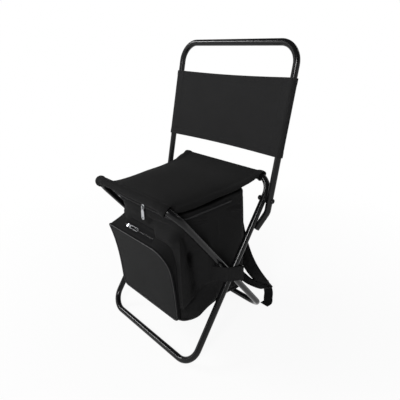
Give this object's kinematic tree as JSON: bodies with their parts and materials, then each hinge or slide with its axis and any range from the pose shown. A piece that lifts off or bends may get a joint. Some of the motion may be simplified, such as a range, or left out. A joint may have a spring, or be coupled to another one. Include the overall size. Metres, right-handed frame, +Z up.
{
  "type": "folding cooler stool",
  "caption": "Folding X-frame camp stool with a hinged backrest, cloth seat, zipped soft cooler bag under the seat, front pocket and shoulder straps",
  "frame": {"origin": "on the floor, in the middle of the outline's length and width", "axes": "+X across the width, +Y to the rear, the backrest side, so the pocket faces -Y, and +Z up"},
  "size_m": [0.3764, 0.3874, 0.6907],
  "materials": {
    "black_tube": "black powder coat, satin gloss",
    "fasteners": "blackened steel",
    "black_plastic": "moulded black plastic",
    "black_canvas": "black woven polyester canvas",
    "pocket_canvas": "black woven polyester canvas, a little lighter",
    "foam": "white closed-cell foam",
    "foil": "silver foil laminate",
    "webbing": "black woven tape",
    "zinc": "plated zinc"
  },
  "bodies": {
    "outer_frame": {"outer_leg_frame": "black_tube", "seat_cloth": "black_canvas", "leg_rivet_right": "fasteners", "leg_rivet_left": "fasteners", "leg_washer_right": "black_plastic", "leg_washer_left": "black_plastic", "backrest_bolt_right": "fasteners", "backrest_bolt_left": "fasteners", "backrest_nut_right": "fasteners", "backrest_nut_left": "fasteners", "backrest_washer_right": "black_plastic", "backrest_washer_left": "black_plastic"},
    "inner_frame": {"inner_leg_frame": "black_tube"},
    "backrest": {"backrest_frame": "black_tube", "backrest_cloth": "black_canvas", "backrest_plug_right": "black_plastic", "backrest_plug_left": "black_plastic"},
    "cooler_bag": {"bag_shell": "black_canvas", "bag_foam": "foam", "bag_liner": "foil", "lid_zip_lower_tape": "webbing", "front_pocket": "pocket_canvas", "pocket_zip": "webbing", "crossing_band_right": "black_canvas", "crossing_band_left": "black_canvas", "strap_pad_right": "black_canvas", "strap_pad_left": "black_canvas", "strap_buckle_right": "black_plastic", "strap_buckle_left": "black_plastic", "strap_webbing_right": "webbing", "strap_webbing_left": "webbing"},
    "lid": {"bag_lid": "black_canvas", "lid_pad": "foil", "lid_zip_upper_tape": "webbing"},
    "lid_slider": {"lid_zip_slider": "zinc"},
    "lid_pull": {"lid_zip_pull": "zinc"},
    "pocket_slider": {"pocket_zip_slider": "zinc"},
    "pocket_pull": {"pocket_zip_pull": "zinc"}
  },
  "joints": [
    {"name": "frame_fold", "type": "hinge", "parent": "outer_frame", "child": "inner_frame", "pos_m": [0, -0.02882, 0.19991], "axis": [-1, 0, 0], "range_deg": [0, 66], "deforming": ["seat_cloth"]},
    {"name": "bag_swing", "type": "hinge", "parent": "outer_frame", "child": "cooler_bag", "pos_m": [0, -0.02882, 0.19991], "axis": [-1, 0, 0], "range_deg": [0, 33]},
    {"name": "backrest_fold", "type": "hinge", "parent": "outer_frame", "child": "backrest", "pos_m": [0, 0.07447, 0.35146], "axis": [1, 0, 0], "range_deg": [0, 60]},
    {"name": "lid_lift", "type": "hinge", "parent": "cooler_bag", "child": "lid", "pos_m": [0, 0.06606, 0.3553], "axis": [-1, 0, 0], "range_deg": [0, 3]},
    {"name": "lid_zip_slide", "type": "slide", "parent": "cooler_bag", "child": "lid_slider", "axis": [1, 0, 0], "range_m": [-0.095, 0.075]},
    {"name": "lid_pull_swing", "type": "hinge", "parent": "lid_slider", "child": "lid_pull", "pos_m": [0.01, -0.15714, 0.355], "axis": [-1, 0, 0], "range_deg": [0, 110]},
    {"name": "pocket_zip_slide", "type": "slide", "parent": "cooler_bag", "child": "pocket_slider", "axis": [1, 0, 0], "range_m": [-0.012, 0.08]},
    {"name": "pocket_pull_flip", "type": "hinge", "parent": "pocket_slider", "child": "pocket_pull", "pos_m": [-0.036, -0.16739, 0.29838], "axis": [0, -0.7214, -0.6925], "range_deg": [0, 160]}
  ],
  "couplings": [
    {"joint": "bag_swing", "follows": "frame_fold", "ratio": 0.5}
  ]
}
